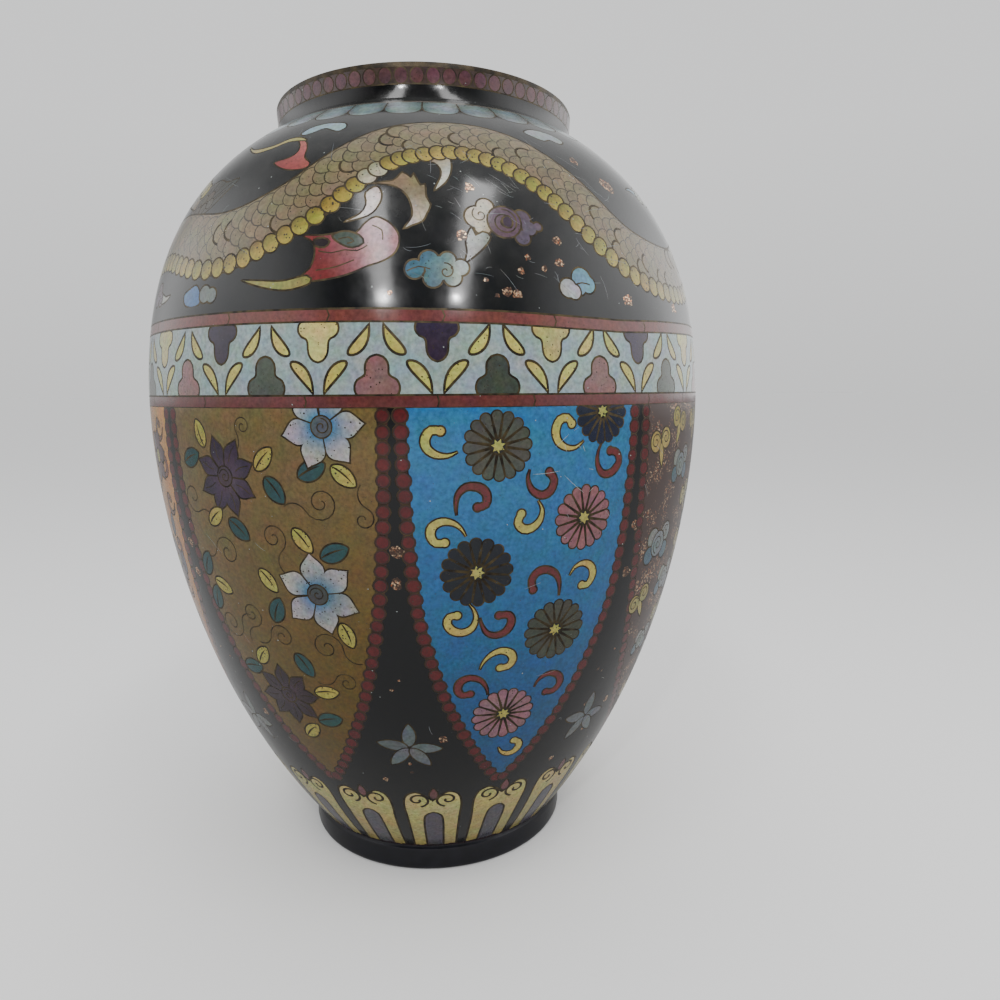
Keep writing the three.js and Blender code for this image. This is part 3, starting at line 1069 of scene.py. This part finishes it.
    # dark fan of fins at the tip of the tail
    patch([(-54.5, 127.4), (-50.5, 126.9), (-46.6, 127.8), (-43.6, 130), (-40.6, 133.2), (-44.6, 133.2),
           (-48.4, 134.4), (-52.4, 134), (-56, 133.4), (-56.8, 130)],
          fade("#40352a", "#262a24", (-53, 128), (-44, 133)), pits=0.5)
    for degree, up in ((-43.4, 131.2), (-42.4, 132.8), (-45.6, 133), (-48.6, 133.8), (-51, 133.8)):
        wireThrough([(-53.5, 128.6), ((degree - 53.5) / 2 + 0.5, (up + 128.6) / 2 - 0.7), (degree, up)])
    for degree, up in ((-52.5, 128.4), (-50, 128.6), (-47.6, 129.2), (-51.4, 130.6), (-49, 131)):
        cloison(put(circle(1.1, 14), degree, up), "#43392a", pits=0.4, width=0.18)
    for degree, up, size in ((12, 111.4, 0.9), (13.6, 110.9, 1), (14.6, 114.7, 0.7), (21.6, 116.3, 0.9),
                             (16, 116.8, 0.6), (5.2, 119.7, 1), (35.8, 111.2, 1.6), (40.3, 133, 1.7),
                             (33.5, 137.4, 1.1), (7.4, 128.2, 1), (52, 110.4, 1.6), (22, 120, 0.9),
                             (18.8, 115.2, 0.6), (8.8, 113, 0.4), (10.4, 110.6, 0.5), (-6, 111, 0.4)):
        speck(degree, up, size)


def inset(points, degree, up, turn, colour, size=1.0, pits=0.3):
    cloison(put(smooth(np.array(points) * size, step=0.6), degree, up, turn), colour, pits=pits, width=0.3)


def ruyiCloud(degree, up, size, hand, colour, tail):
    # a rolling cloud: three coiled lobes over a long tail
    inset([(-1, -0.6), (2, -1.6), (6, -1.4), (8.5, -0.2), (5.5, -0.2), (3, 0.6), (-0.5, 1)], degree, up,
          0 if hand > 0 else 180, tail, size)
    lobes = [(np.array([x, y]) * size, r) for x, y, r in
             ((-2.0 * hand, -0.3, 1.7), (1.6 * hand, -0.5, 1.6), (-0.3 * hand, 1.4, 2))]
    wired([put(circle(r * size) + middle, degree, up) for middle, r in lobes], 0.15, 0.15, colour, 0.3)
    t = np.linspace(0, 1, 16)
    for middle, r in lobes[1:]:
        coil = spiral(hand * 2.4 * math.pi * t, r * size * (0.15 + 0.6 * t))
        wireLine(put(coil + middle, degree, up), 0.2)


def flame(degree, up, size, turn, colour="#8d3936", tipColour="#b9a65c"):
    centre = onWall((degree, up))[0]
    inset([(-3, 0.5), (-1.2, 1.8), (0.5, 1.2), (2.2, 2.6), (2.6, 1), (5.2, 1.8), (4, 0.2), (6.6, -0.6),
           (3.4, -1.2), (1, -1.8), (-1.6, -1.6), (-3.2, -0.8)], degree, up, turn,
          (colour, tipColour, centre, 6.5 * size), size)


def paw(degree, up, turn, size=1.0):
    # four long talons on a scaly paw
    for angle in (70, 30, -10, -50):
        inset([(1.2, 0.7), (3.6, 1.2), (5.2, 0.2), (6, -1.6), (4.4, -0.6), (3, -0.5), (1.3, -0.6)], degree,
              up, turn + angle, "#c9c1b0", size, 0.4)
    inset([(-4.4, 1.5), (-1.5, 1.8), (0.8, 1.9), (2, 0.6), (1.8, -1), (0.4, -1.9), (-1.8, -1.6),
           (-4.4, -1.3)],
          degree, up, turn, "#7d6c4a", size)


def dragonHead(degree, up):
    for line in ([(-1.5, 3.4), (-4, 6.4), (-7.2, 7.2), (-10, 9)],
                 [(0.4, 3.8), (-1.4, 7), (-4.6, 9.4), (-7, 12)]):
        horn = put(smooth(line, closed=False, step=0.5), degree, up)
        widths = np.linspace(1.5, 0.35, len(horn))
        wireCell(ribbon(horn, widths + 0.3))
        cell(ribbon(horn, np.maximum(widths - 0.3, 0.05)), "#b5a284", pits=0.4)
    # mane, open mouth, lower jaw and upper jaw with the brow
    for points, colour in (
            ([(0, 3.4), (-4, 5.4), (-7.4, 4.6), (-4.6, 3.2), (-8.4, 2), (-4.8, 1), (-8.6, -1), (-4.6, -1),
              (-7.2, -4.2), (-3.6, -3.2), (-2.4, -6.4), (-0.6, -3.4), (1.2, -5.8), (2, -2.6)], "#55705f"),
            ([(0.8, -0.2), (5, 0), (7.8, -0.2), (6.8, -2.6), (4, -2), (1, -1.8)], "#8d3936"),
            ([(-2.8, -1), (1, -1.6), (4.2, -2.2), (6.6, -3.2), (6.2, -4.4), (3.2, -4.4), (0.2, -3.8),
              (-2.4, -3)], "#85744c"),
            ([(-3.2, 2.4), (-1.2, 4.4), (1.6, 4), (3, 2.6), (5.4, 2.4), (7, 3.4), (8.8, 2.8), (9, 1.2),
              (7.6, 0.3), (4.6, 0.2), (1.6, -0.5), (-1.6, -1.2), (-3.6, 0.2)], "#85744c")):
        inset(points, degree, up, 0, colour)
    # eye, nostril and teeth
    for x, y, r, colour in ((2, 2.2, 0.95, "#d0cbbb"), (2.25, 2.1, 0.45, "#101010"), (7.9, 2, 0.4, "#2a1a14"),
                            (3, -0.4, 0.4, "#d0cbbb"), (4.4, -0.35, 0.4, "#d0cbbb"),
                            (5.8, -0.4, 0.4, "#d0cbbb"), (4.8, -1.9, 0.35, "#d0cbbb"),
                            (3.4, -1.6, 0.35, "#d0cbbb")):
        wired([put(circle(r, 12) + [x, y], degree, up)], 0.13, 0.08, colour, 0.2)
    for line in ([(8.6, 1.6), (11, 3.4), (13.4, 2.6), (14.4, 4.6)],
                 [(8.4, 0.8), (10.6, -1.2), (13, -0.4), (14.6, -2.2)], [(-0.6, 3.2), (1.4, 3.5), (3.4, 2.6)]):
        wireLine(put(smooth(line, closed=False, step=0.5), degree, up), 0.34)


def backMotifs():
    # the side that the photo doesn't show: head and claw of the dragon, a flaming pearl, clouds
    for _ in range(70):
        speck(wrapped(66 + 222 * rng.random()), 111 + 33 * rng.random(), 0.3 + 0.8 * rng.random() ** 2)
    clouds = [(72, 113, 0.9, 1), (58, 134, 0.8, -1), (84, 119.5, 0.9, 1), (79, 140.5, 0.8, 1),
              (104, 113.5, 0.9, -1), (101, 143, 0.75, 1), (126, 115.5, 1, 1), (139, 140.8, 0.9, -1),
              (150, 113.6, 0.9, -1), (166, 136.8, 0.9, 1), (171, 120, 1, 1), (-176, 143, 0.8, -1),
              (-166, 129.6, 0.9, -1), (-160, 114.6, 0.9, 1), (-147, 139.6, 0.9, 1), (-141, 122.4, 1, -1),
              (-125, 114, 0.9, 1), (-124, 143.2, 0.8, -1), (-93, 127.8, 0.9, 1), (-72, 128.6, 0.7, 1),
              (-66, 143.4, 0.8, 1), (-76, 112.6, 0.9, -1), (-60, 113.4, 0.8, 1)]
    tints = (("#5f8fa3", "#8ba3b2"), ("#a4a9a6", "#5f8fa3"), ("#6a5a6c", "#a4a9a6"), ("#8ba3b2", "#4a6f9a"))
    for k, (degree, up, size, hand) in enumerate(clouds):
        ruyiCloud(degree, up, size, hand, *tints[k % 4])
    for degree, up, size, turn in ((113, 121.5, 0.9, 30), (120, 142.5, 0.8, 170), (140, 125, 0.8, 40),
                                   (-179, 112.8, 0.9, 10), (-153, 127.4, 0.9, 160), (-133, 132.6, 0.9, 20),
                                   (-112, 112.8, 0.8, 0), (-88, 112.4, 0.8, 175), (64, 143.6, 0.8, 10),
                                   (90, 112, 0.8, 5), (-100, 143, 0.8, 175)):
        flame(degree, up, size, turn)
    for k in range(5):
        flame(155, 128, 0.75, 72 * k + 10)
    inset(circle(2.5, 20), 155, 128, 0, "#c7b3b0")
    curl(155, 128, 1.9, 1.8, 0, 1, 0.24)
    inset([(-2.4, 3), (-1.8, -1), (0.4, -4.6), (2.6, -5.2), (3, -3), (2.2, 0), (2.6, 3)],
          96, 127, 0, "#7d6c4a")
    paw(98.6, 120.6, -60, 0.9)
    dragonHead(123.5, 128.4)


def shoulderCollar():
    # pale scalloped collar below the neck, dark where two scallops meet
    lobe = [(-5, 153.2), (-5, 150.6), (-4.85, 149), (-3.6, 147.6), (0, 147), (3.6, 147.6), (4.85, 149),
            (5, 150.6), (5, 153.2)]
    for k in range(36):
        degree = -176 + 10 * k
        line = smooth(moved(lobe, degree), closed=False, step=1.0)
        cloison(onWall(line), ("#7f9299", "#4d5654", onWall((degree, 150.2))[0], 5), pits=0.3, width=0.24)
    cell(belt(152.8, 153.6), "#5d5a50", pits=0.3)


neckDots = {"count": 68, "radius": 1.15, "up": 3.5, "colour": "#604046"}


def neckBand():
    # black band below, brown band with a row of ringed pink dots above
    cell(belt(wallTop + 2.15, wallTop + neckLength + 0.5), "#4a3b38", pits=0.2)
    wireCell(belt(wallTop + 2.05, wallTop + 2.25))
    for k in range(neckDots["count"]):
        degree = -180 + 360 / neckDots["count"] * (k + 0.5)
        loop = put(circle(neckDots["radius"], 16) * [1, 1.12], degree, wallTop + neckDots["up"])
        wired([loop], 0.14, 0.06, neckDots["colour"], 0.4)


# each band is drawn as cells first and then cut; what is drawn last lies on top
footArches()
wedges()
makers = (bluePanel, goldstonePanel, peachPanel, olivePanel)
for k in range(panel["count"]):
    makers[k % 4](wrapped(panel["first"] + 45 * k))
split = (band["lowRed"][0], 110.5)  # heights where one piece of the wall ends and the next starts
scratches(50, (-179, 179), (30, 93), "#8f9595")
scratches(7, (16, 27), (78, 90), "#a9b4b8")
buildBand("enamel_panels", 0, split[0], onVessel, "#050608")
cell(onWall([(-182, 96), (182, 96), (182, 107.5), (-182, 107.5)]), band["ground"])
trefoils()
redBands()
buildBand("enamel_trefoil_band", split[0], split[1], onVessel, "#0b0d10")
frontMotifs()
dragonBody()
backMotifs()
shoulderCollar()
scratches(75, (-4, 40), (112, 137), "#777c7d")
scratches(80, (-179, 179), (111.5, 144), "#6b7071")
buildBand("enamel_shoulder", split[1], wallTop, onVessel, "#0b0d10")
neckBand()
buildBand("enamel_neck", wallTop, wallTop + neckLength, onNeck, "#0c0c0e")


# Turned parts: the copper vessel inside its enamel, the foot ring and the lip

def turned(name, profile, material, replaced, sides=256):
    bm = bmesh.new()
    points = [bm.verts.new((r * mm, 0, z * mm)) for r, z in profile]
    edges = [bm.edges.new((a, b)) for a, b in zip(points, points[1:] + points[:1])]
    bmesh.ops.spin(bm, geom=points + edges, axis=(0, 0, 1), cent=(0, 0, 0), angle=2 * math.pi, steps=sides,
                   use_merge=True)
    bmesh.ops.remove_doubles(bm, verts=bm.verts, dist=1e-6)
    bmesh.ops.dissolve_degenerate(bm, edges=bm.edges, dist=1e-7)
    bmesh.ops.recalc_face_normals(bm, faces=bm.faces)
    mesh = bpy.data.meshes.new(name)
    bm.to_mesh(mesh)
    bm.free()
    for face in mesh.polygons:
        face.use_smooth = True
    mesh.set_sharp_from_angle(angle=math.radians(35))
    piece = added(name, mesh)
    mesh.materials.append(material)
    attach(piece, "root")
    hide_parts(replaced)
    print(name, len(mesh.polygons), "faces")


def counterEnamel():
    # Plain enamel inside the jar and under it: thin, blue-green, a little orange-peeled from the kiln
    material, tree, shader, where, _ = mottledMaterial("counter enamel", {"Scale": per(2.5), "Detail": 6.0},
                                                       (0.35, "#123238"), (0.72, "#2c5a5e"))
    peel = node(tree, "TexNoise", {"Scale": per(1.8), "Detail": 2.0}, Vector=where)
    bump = node(tree, "Bump", {"Strength": 0.4, "Distance": 0.0003}, Height=peel)
    fitted(tree, shader, {"Roughness": 0.3, "IOR": 1.52}, Normal=bump)
    return material


def ringEnamel():
    # Foot ring under a dark blue-black enamel, mottled and a little uneven; the real ring is pitted and
    # rubbed along its edges
    material, tree, shader, _, mottle = mottledMaterial(
        "dark ring enamel", {"Scale": per(2.0), "Detail": 6.0, "Roughness": 0.7},
        (0.35, "#0c0d12"), (0.75, "#1f1f28"))
    bump = node(tree, "Bump", {"Strength": 0.12, "Distance": 0.0002}, Height=mottle)
    fitted(tree, shader, {"Roughness": 0.16}, Normal=bump)
    return material


skin = 0.2  # the wall behind the cells lies this much inside them
picked = np.append(np.arange(0, len(curve) - 6, 12), len(curve) - 1)
outwards = np.column_stack([tangent[picked, 1], -tangent[picked, 0]])
outer = curve[picked] - skin * outwards
inner = curve[picked] - vessel["wall"] * outwards
floorHeight = vessel["base"] + vessel["wall"]
mouthRadius = vessel["neckRadius"] - vessel["wall"]
inner = inner[(inner[:, 1] > floorHeight + 0.4) & ((inner[:, 0] > mouthRadius + 0.4) | (inner[:, 1] < 60))]
profile = [(0.01, vessel["base"] + 0.02), (vessel["footRadius"] - skin, vessel["base"] + 0.02)]
profile += [tuple(p) for p in outer[1:]]
profile += [(vessel["lipRadius"] - skin, vessel["neckTop"]), (mouthRadius, vessel["neckTop"]),
            (mouthRadius, vessel["neckBase"] - 0.4)]
profile += [tuple(p) for p in inner[::-1]]
profile += [(inner[0, 0] - 0.6, floorHeight + 0.1), (inner[0, 0] - 1.6, floorHeight), (0.01, floorHeight)]
turned("vessel_inside", profile, counterEnamel(), "enamel_body", 192)

ringWidth = 2.4
footInside, footOutside = footHigh[0] - ringWidth, footHigh[0]
turned("foot_ring_enamelled", [
    (footInside, 0.5), (footInside + 0.15, 0.15), (footInside + 0.5, 0), (footOutside - 0.9, 0),
    (footOutside - 0.55, 0.1), (footOutside - 0.25, 0.33), (footOutside - 0.07, 0.66), (footOutside, 1.1),
    (footOutside, 4.2), (footOutside - 0.06, 4.8), (footOutside - 0.3, 5.15),
    (footOutside - 0.3, vessel["base"]), (footInside, vessel["base"])], ringEnamel(),
       "foot_ring")
lipBase, lipTop, lipOutside = vessel["neckTop"], vessel["lipTop"], vessel["lipRadius"]
turned("lip_rim", [
    (mouthRadius, lipBase), (lipOutside, lipBase), (lipOutside, lipTop - 0.25),
    (lipOutside - 0.08, lipTop - 0.08), (lipOutside - 0.25, lipTop), (mouthRadius + 0.25, lipTop),
    (mouthRadius + 0.08, lipTop - 0.08), (mouthRadius, lipTop - 0.25)],
    agedBrass("aged brass rim", "#221d15", "#4a3f2c", 0.45), "lip_binding")


# Camera where the photographer stood, at close range

view = {"distance": 165.6, "height": 96.2, "yaw": 0.091, "pitch": -0.1468, "roll": -0.0068, "focal": 0.7348}


def placeCamera():
    data = bpy.data.cameras.new("camera")
    data.sensor_width = 36
    data.lens = view["focal"] * 36
    data.clip_start = 0.01
    camera = added("camera", data)
    turn = (Matrix.Rotation(-view["yaw"], 4, "Z") @ Matrix.Rotation(math.pi / 2 + view["pitch"], 4, "X")
            @ Matrix.Rotation(view["roll"], 4, "Z"))
    camera.matrix_world = Matrix.Translation((0, -view["distance"] * mm, view["height"] * mm)) @ turn
    bpy.context.scene.camera = camera


# Each lamp runs from one place in the sky to another: azimuth from the front, elevation, distance in metres
studioLight = {
    "strips": [((-19, 29, 0.84), (-46, 66, 0.56), 0.09, 1.55), ((12, 29, 0.84), (54, 70, 0.54), 0.09, 1.6)],
    "lamps": [((-18.8, 26.6, 0.8), (-18.9, 28.6, 0.8), 0.028, 0.9),
              ((11.4, 26.6, 0.8), (11.5, 28.6, 0.8), 0.028, 0.7)],
    "lightTarget": (0, -0.05, 0.11),
    "frontGlow": 0.085,
    "backGlow": 1.3,
    "glowWay": (0.28, 0.76, 0.36),
    "topShade": 0.7,
    "leftShade": 0.45,
    "sideGlow": 1.5,
    "backdrop": (0.86, 1.0),
    "floor": 0.95,
    "floorBounce": 0.48,
}


def lampBetween(first, last, width, power):
    # a soft lamp between two places, turned to face the jar
    ends = []
    for azimuth, elevation, distance in (first, last):
        a, e = math.radians(azimuth), math.radians(elevation)
        way = Vector((math.sin(a) * math.cos(e), -math.cos(a) * math.cos(e), math.sin(e)))
        ends.append(Vector(studioLight["lightTarget"]) + way * distance)
    length = (ends[1] - ends[0]).length
    data = bpy.data.lights.new("lamp", "AREA")
    data.shape = "RECTANGLE"
    data.size, data.size_y, data.energy = width, length, power
    lamp = added("lamp", data)
    middle = (ends[0] + ends[1]) / 2
    along = (ends[1] - ends[0]).normalized()
    away = middle - Vector(studioLight["lightTarget"])
    away = (away - along * away.dot(along)).normalized()
    across = along.cross(away)
    turn = Matrix((across, along, away)).transposed().to_4x4()
    lamp.matrix_world = Matrix.Translation(middle) @ turn


def paleFloor():
    # pale to look at, but it throws less light back up at the jar
    material, tree, shader, _ = newMaterial("pale floor")
    looked = node(tree, "LightPath")
    tone = node(tree, "MapRange", {"To Min": studioLight["floorBounce"], "To Max": studioLight["floor"]},
                Value=looked.outputs["Is Camera Ray"])
    fitted(tree, shader, {"Roughness": 0.9, "Specular IOR Level": 0.0}, Base_Color=tone)
    bm = bmesh.new()
    bmesh.ops.create_grid(bm, x_segments=1, y_segments=1, size=20)
    mesh = bpy.data.meshes.new("floor")
    bm.to_mesh(mesh)
    bm.free()
    floor = added("floor", mesh)
    mesh.materials.append(material)


def studio():
    settings = studioLight
    world = bpy.data.worlds.new("studio")
    bpy.context.scene.world = world
    world.use_nodes = True
    tree = world.node_tree
    way = tree.nodes.new("ShaderNodeTexCoord").outputs["Generated"]
    facing = node(tree, "VectorMath", {"operation": "DOT_PRODUCT", 1: settings["glowWay"]}, n0=way)
    glow = node(tree, "MapRange", {"From Min": -0.75, "From Max": 0.75, "To Min": settings["frontGlow"],
                                   "To Max": settings["backGlow"], "interpolation_type": "SMOOTHSTEP"},
                Value=facing.outputs["Value"])
    seen = node(tree, "LightPath")
    across, _, height = node(tree, "SeparateXYZ", None, n0=way).outputs
    # in the gloss only: darker overhead and to the left behind the jar, and a shine from both sides
    top = node(tree, "MapRange", {"From Min": 0.1, "From Max": 0.6, "To Min": 1.0,
                                  "To Max": settings["topShade"]},
               Value=height)
    left = node(tree, "MapRange", {"From Min": -0.5, "From Max": 0.0, "To Min": settings["leftShade"],
                                   "To Max": 1.0}, Value=across)
    shades = node(tree, "Math", {"operation": "MULTIPLY"}, n0=top, n1=left)
    shaded = node(tree, "Math", {"operation": "MULTIPLY"}, n0=glow, n1=shades)
    sideways = node(tree, "Math", {"operation": "ABSOLUTE"}, n0=across)
    sides = node(tree, "MapRange", {"From Min": 0.5, "From Max": 0.9, "To Min": 0.0,
                                    "To Max": settings["sideGlow"],
                                    "interpolation_type": "SMOOTHSTEP"}, Value=sideways)
    raised = node(tree, "MapRange", {"From Min": -0.1, "From Max": 0.4, "To Min": 0.4, "To Max": 1.0},
                  Value=height)
    mirrorLight = node(tree, "Math", {"operation": "MULTIPLY_ADD"}, n0=sides, n1=raised, n2=shaded)
    around = node(tree, "Mix", None, n0=seen.outputs["Is Glossy Ray"], n2=glow, n3=mirrorLight)
    wallTone = node(tree, "MapRange", {"From Max": 0.3, "To Min": settings["backdrop"][0],
                                       "To Max": settings["backdrop"][1]}, Value=height)
    level = node(tree, "Mix", None, n0=seen.outputs["Is Camera Ray"], n2=around, n3=wallTone)
    fitted(tree, tree.nodes["Background"], {"Color": (0.99, 0.995, 1.0, 1)}, Strength=level)
    for lamp in settings["strips"] + settings["lamps"]:
        lampBetween(*lamp)


placeCamera()
paleFloor()
studio()
print("camera and light")
